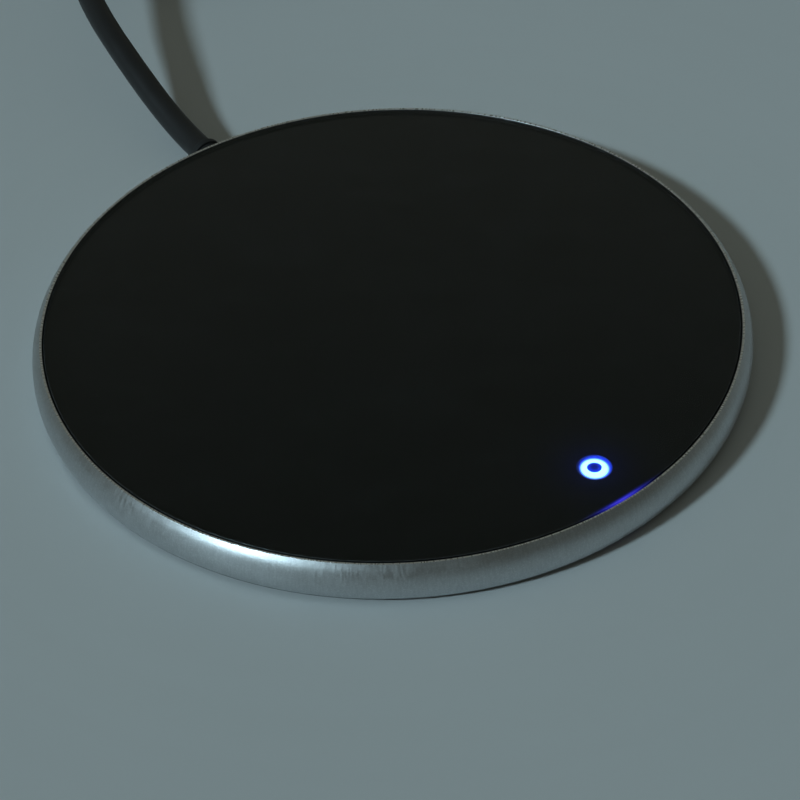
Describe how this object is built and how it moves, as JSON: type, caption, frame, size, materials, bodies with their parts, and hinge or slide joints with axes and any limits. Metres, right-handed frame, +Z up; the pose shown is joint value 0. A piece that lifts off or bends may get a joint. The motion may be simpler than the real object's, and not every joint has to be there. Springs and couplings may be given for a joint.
{
  "type": "wireless charging pad",
  "caption": "Slim round wireless charging pad: black plate with a ring-shaped indicator light, rounded metal rim, soft foot ring and a captive USB cable.",
  "frame": {"origin": "centre of the pad, on the surface that it stands on", "axes": "+Z up through the charging surface; -Y is the front; the cable leaves the rear left (-X, +Y) and the indicator light is at the front right (+X, -Y)"},
  "size_m": [0.1154, 0.2255, 0.0134],
  "materials": {
    "satin_aluminium": "bead-blasted and clear anodised, bright lip",
    "clear_plate": "polished, clear",
    "black_print": "screen-printed opaque black",
    "adhesive_film": "double-sided tape",
    "black_abs": "fine spark-eroded texture",
    "black_silicone": "matte, slightly tacky",
    "zinc_steel": "zinc-plated",
    "green_board": "solder mask over glass-fibre laminate",
    "black_epoxy": "moulded chip package",
    "tan_ceramic": "fired capacitor ceramic",
    "grey_ferrite": "sintered ferrite",
    "nickel_can": "plated can",
    "resistor_film": "glazed film on ceramic",
    "led_phosphor": "lit blue-white emitter",
    "frosted_guide": "frosted clear, lit from below",
    "copper_litz": "enamelled stranded copper",
    "amber_film": "polyimide film",
    "black_pvc": "soft satin",
    "black_rubber": "matte",
    "red_insulation": "extruded",
    "black_insulation": "extruded",
    "nickel_shell": "nickel-plated folded steel",
    "ivory_plastic": "moulded insulator",
    "gold_contact": "gold-plated"
  },
  "bodies": {
    "root": {"rim_frame": "satin_aluminium", "top_plate": "clear_plate", "print_mask": "black_print", "plate_adhesive": "adhesive_film", "base_cover": "black_abs", "foot_ring": "black_silicone", "base_screws": "zinc_steel", "circuit_board": "green_board", "controller_chip": "black_epoxy", "power_transistors": "black_epoxy", "resonance_capacitors": "tan_ceramic", "input_capacitors": "tan_ceramic", "filter_inductor": "grey_ferrite", "crystal": "nickel_can", "chip_resistors": "resistor_film", "status_led": "led_phosphor", "light_guide": "frosted_guide", "light_shield": "black_rubber", "transmitter_coil": "copper_litz", "ferrite_sheet": "grey_ferrite", "coil_adhesive": "adhesive_film", "coil_tape": "amber_film", "thermistor": "black_epoxy", "cable_jacket": "black_pvc", "wire_red": "red_insulation", "wire_black": "black_insulation", "cable_grommet": "black_rubber", "plug_overmould": "black_pvc", "plug_shell": "nickel_shell", "plug_insulator": "ivory_plastic", "plug_contacts": "gold_contact"}
  },
  "joints": []
}
